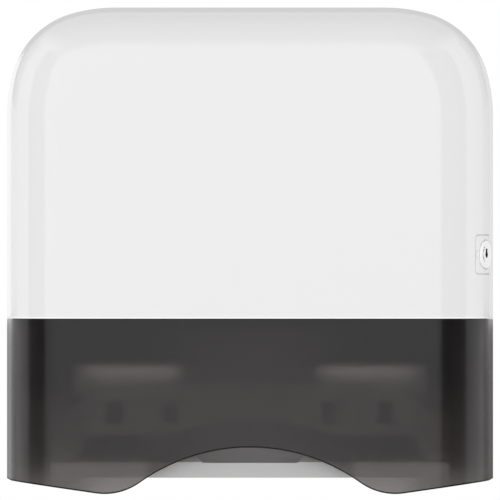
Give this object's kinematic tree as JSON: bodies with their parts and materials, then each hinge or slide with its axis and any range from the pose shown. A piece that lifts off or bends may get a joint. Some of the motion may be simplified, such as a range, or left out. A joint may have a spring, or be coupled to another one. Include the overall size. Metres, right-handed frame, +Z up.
{
  "type": "folded towel dispenser",
  "caption": "Wall dispenser for folded paper towels: white cover with smoke lower front, hand arch, side lock and a hinge at the foot.",
  "frame": {"origin": "centre of the four wall screw slots, on the wall plane", "axes": "+Z up, the front faces -Y, +Y points into the wall, +X to the viewer's right, where the lock is"},
  "size_m": [0.3, 0.1021, 0.299],
  "materials": {
    "white_gloss": "glossy opaque white moulding",
    "smoke": "smoke translucent moulding",
    "grey_plastic": "fine moulded grain",
    "light_plastic": "fine moulded grain",
    "dark_plastic": "fine moulded grain",
    "rubber": "matt",
    "lock_metal": "satin",
    "steel": "bright zinc"
  },
  "bodies": {
    "chassis": {"back_panel": "grey_plastic", "side_guide_left": "grey_plastic", "side_guide_right": "grey_plastic", "stack_rest_left": "light_plastic", "stack_rest_right": "light_plastic", "outlet_tray": "light_plastic", "front_guide": "grey_plastic", "bumpers": "rubber", "width_clip": "dark_plastic", "strike_plate": "steel", "guide_screws": "steel", "rest_screws": "steel", "tray_screws": "steel", "strike_screws": "steel"},
    "cover": {"upper_cover": "white_gloss", "lower_cover": "smoke", "seam_band": "white_gloss", "lock_escutcheon": "white_gloss", "lock_housing": "lock_metal", "lock_nut": "steel", "hinge_pin_left": "steel", "hinge_pin_right": "steel"},
    "lock": {"lock_barrel": "white_gloss", "lock_cam": "steel", "cam_screw": "steel"}
  },
  "joints": [
    {"name": "cover_hinge", "type": "hinge", "parent": "chassis", "child": "cover", "pos_m": [0, -0.018, -0.156], "axis": [1, 0, 0], "range_deg": [0, 85]},
    {"name": "lock_turn", "type": "hinge", "parent": "cover", "child": "lock", "pos_m": [0.14452, -0.08059, -0.0234], "axis": [0.9291, -0.3697, 0], "range_deg": [0, 90]}
  ]
}
